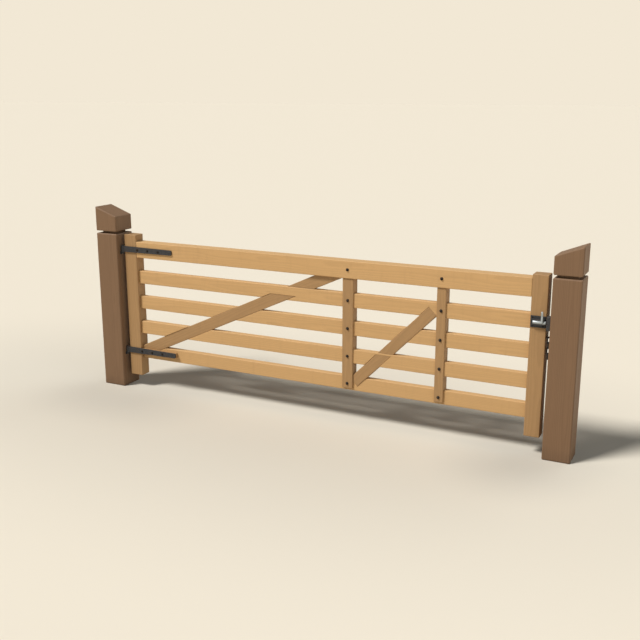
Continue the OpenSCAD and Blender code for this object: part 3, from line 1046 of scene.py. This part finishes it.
class FIELDGATE_OT_stage(Operator):
    """Set up the floor, the lights and the camera"""

    bl_idname = "field_gate.stage"
    bl_label = "Stage"

    def execute(self, context):
        look = context.scene.field_gate_stage
        context.scene.view_settings.view_transform = "Standard"
        self.floor(look)
        self.sky(context.scene, look)
        self.sun("key_light", KEY_FROM, look.key_strength, 16, (1, 1, 1))
        self.sun("fill_light", FILL_FROM, look.fill_strength, 50, look.soft_colour)
        self.sun("rim_light", RIM_FROM, look.rim_strength, 40, look.soft_colour)
        self.camera(context.scene, look)
        return {"FINISHED"}

    @staticmethod
    def floor(look):
        """A wide plain floor at ground level, with soft shadows painted on it round the gate and at the
        posts' feet.
        """
        half = FLOOR_HALF
        mesh = bpy.data.meshes.new("floor")
        corners = [(-half, -half, 0), (half, -half, 0), (half, half, 0), (-half, half, 0)]
        mesh.from_pydata(corners, [], [(0, 1, 2, 3)])
        material, tree, shader = blank_material("floor")
        place = tree.nodes.new("ShaderNodeTexCoord").outputs["Object"]
        centre = (CAD_BOX[0] + CAD_BOX[1]) / 2 + PAINTED_SHADOW_OFFSET
        # The painted shadow round the gate.
        painted_shadows = [(centre, PAINTED_SHADOW_STRETCH, PAINTED_SHADOW_NEAR, PAINTED_SHADOW_FAR, look.floor_painted_shadow)]
        # A painted shadow at each post's foot.
        for post, (offset, stretch, share) in PAINTED_FOOT_SHADOWS.items():
            depth = share * look.foot_painted_shadow
            painted_shadows.append((middle(post) + offset, stretch, 0.0, PAINTED_FOOT_SHADOW_FAR, depth))
        colour = (*look.floor_colour, 1)
        for centre, stretch, near, far, depth in painted_shadows:
            gap = vector_calc(tree, "SUBTRACT", place, tuple(centre))
            reach = vector_calc(tree, "LENGTH", vector_calc(tree, "MULTIPLY", gap, stretch))
            # Painted shadow: darkest at its middle, fading out by its far reach.
            painted_shadow_mask = spread(tree, reach, near, far, depth, 0.0)
            colour = tint(tree, painted_shadow_mask, colour, PAINTED_SHADE_COLOUR)
        feed(tree, shader.inputs["Base Color"], colour)
        shader.inputs["Roughness"].default_value = 1.0
        shader.inputs["Specular IOR Level"].default_value = 0.0
        mesh.materials.append(material)
        floor = bpy.data.objects.new("floor", mesh)
        bpy.context.scene.collection.objects.link(floor)

    @staticmethod
    def sky(scene, look):
        """Soft even light, with the cream backdrop where the camera or a reflection looks."""
        world = bpy.data.worlds.new("studio")
        world.use_nodes = True
        tree = world.node_tree
        tree.nodes.clear()
        rays = tree.nodes.new("ShaderNodeLightPath").outputs
        seen = calc(tree, "MAXIMUM", rays["Is Camera Ray"], rays["Is Glossy Ray"])
        light = tree.nodes.new("ShaderNodeBackground")
        light.inputs["Color"].default_value = (*look.soft_colour, 1)
        light.inputs["Strength"].default_value = look.sky_strength
        backdrop = tree.nodes.new("ShaderNodeBackground")
        backdrop.inputs["Color"].default_value = (*look.backdrop_colour, 1)
        mix = tree.nodes.new("ShaderNodeMixShader")
        tree.links.new(seen, mix.inputs[0])
        tree.links.new(light.outputs[0], mix.inputs[1])
        tree.links.new(backdrop.outputs[0], mix.inputs[2])
        made = tree.nodes.new("ShaderNodeOutputWorld")
        tree.links.new(mix.outputs[0], made.inputs["Surface"])
        scene.world = world

    @staticmethod
    def sun(name, towards, strength, softness, colour):
        """A sun that shines from the given direction, softness degrees wide."""
        lamp = bpy.data.lights.new(name, "SUN")
        lamp.energy = strength
        lamp.color = colour
        lamp.angle = math.radians(softness)
        sun = bpy.data.objects.new(name, lamp)
        sun.rotation_euler = Vector(towards).to_track_quat("Z", "Y").to_euler()
        bpy.context.scene.collection.objects.link(sun)

    @staticmethod
    def camera(scene, look):
        """The camera at the photograph's place and angle."""
        lens = bpy.data.cameras.new("camera")
        lens.lens = look.camera_lens
        lens.sensor_width = 36.0
        lens.sensor_fit = "HORIZONTAL"
        lens.clip_end = 500.0
        camera = bpy.data.objects.new("camera", lens)
        camera.location = look.camera_place
        camera.rotation_euler = (math.pi / 2 - look.camera_tilt, 0, look.camera_turn)
        scene.collection.objects.link(camera)
        scene.camera = camera


class FIELDGATE_PT_panel(Panel):
    """Lists the gate's settings and the steps that dress it"""

    bl_label = "Field Gate"
    bl_idname = "FIELDGATE_PT_panel"
    bl_space_type = "VIEW_3D"
    bl_region_type = "UI"
    bl_category = "Field Gate"

    def draw(self, context):
        layout = self.layout
        for group in SETTINGS:
            box = layout.box()
            owner = getattr(context.scene, group)
            box.label(text=owner.bl_rna.description)
            for name in owner.__annotations__:
                box.prop(owner, name)
        for operator in OPERATORS:
            layout.operator(operator.bl_idname)


SETTINGS = {
    "field_gate_timber": FieldGateTimber,
    "field_gate_iron": FieldGateIron,
    "field_gate_stage": FieldGateStage,
}
OPERATORS = (
    FIELDGATE_OT_stage,
    FIELDGATE_OT_posts,
    FIELDGATE_OT_leaf,
    FIELDGATE_OT_hinges,
    FIELDGATE_OT_latch,
    FIELDGATE_OT_chain,
    FIELDGATE_OT_fixings,
)
CLASSES = (*SETTINGS.values(), *OPERATORS, FIELDGATE_PT_panel)


def register():
    for made in CLASSES:
        bpy.utils.register_class(made)
    for name, group in SETTINGS.items():
        setattr(bpy.types.Scene, name, PointerProperty(type=group))


def unregister():
    for name in SETTINGS:
        delattr(bpy.types.Scene, name)
    for made in reversed(CLASSES):
        bpy.utils.unregister_class(made)


def main():
    register()
    bpy.ops.field_gate.stage()
    bpy.ops.field_gate.posts()
    bpy.ops.field_gate.leaf()
    bpy.ops.field_gate.hinges()
    bpy.ops.field_gate.latch()
    bpy.ops.field_gate.chain()
    bpy.ops.field_gate.fixings()


if __name__ == "__main__":
    main()
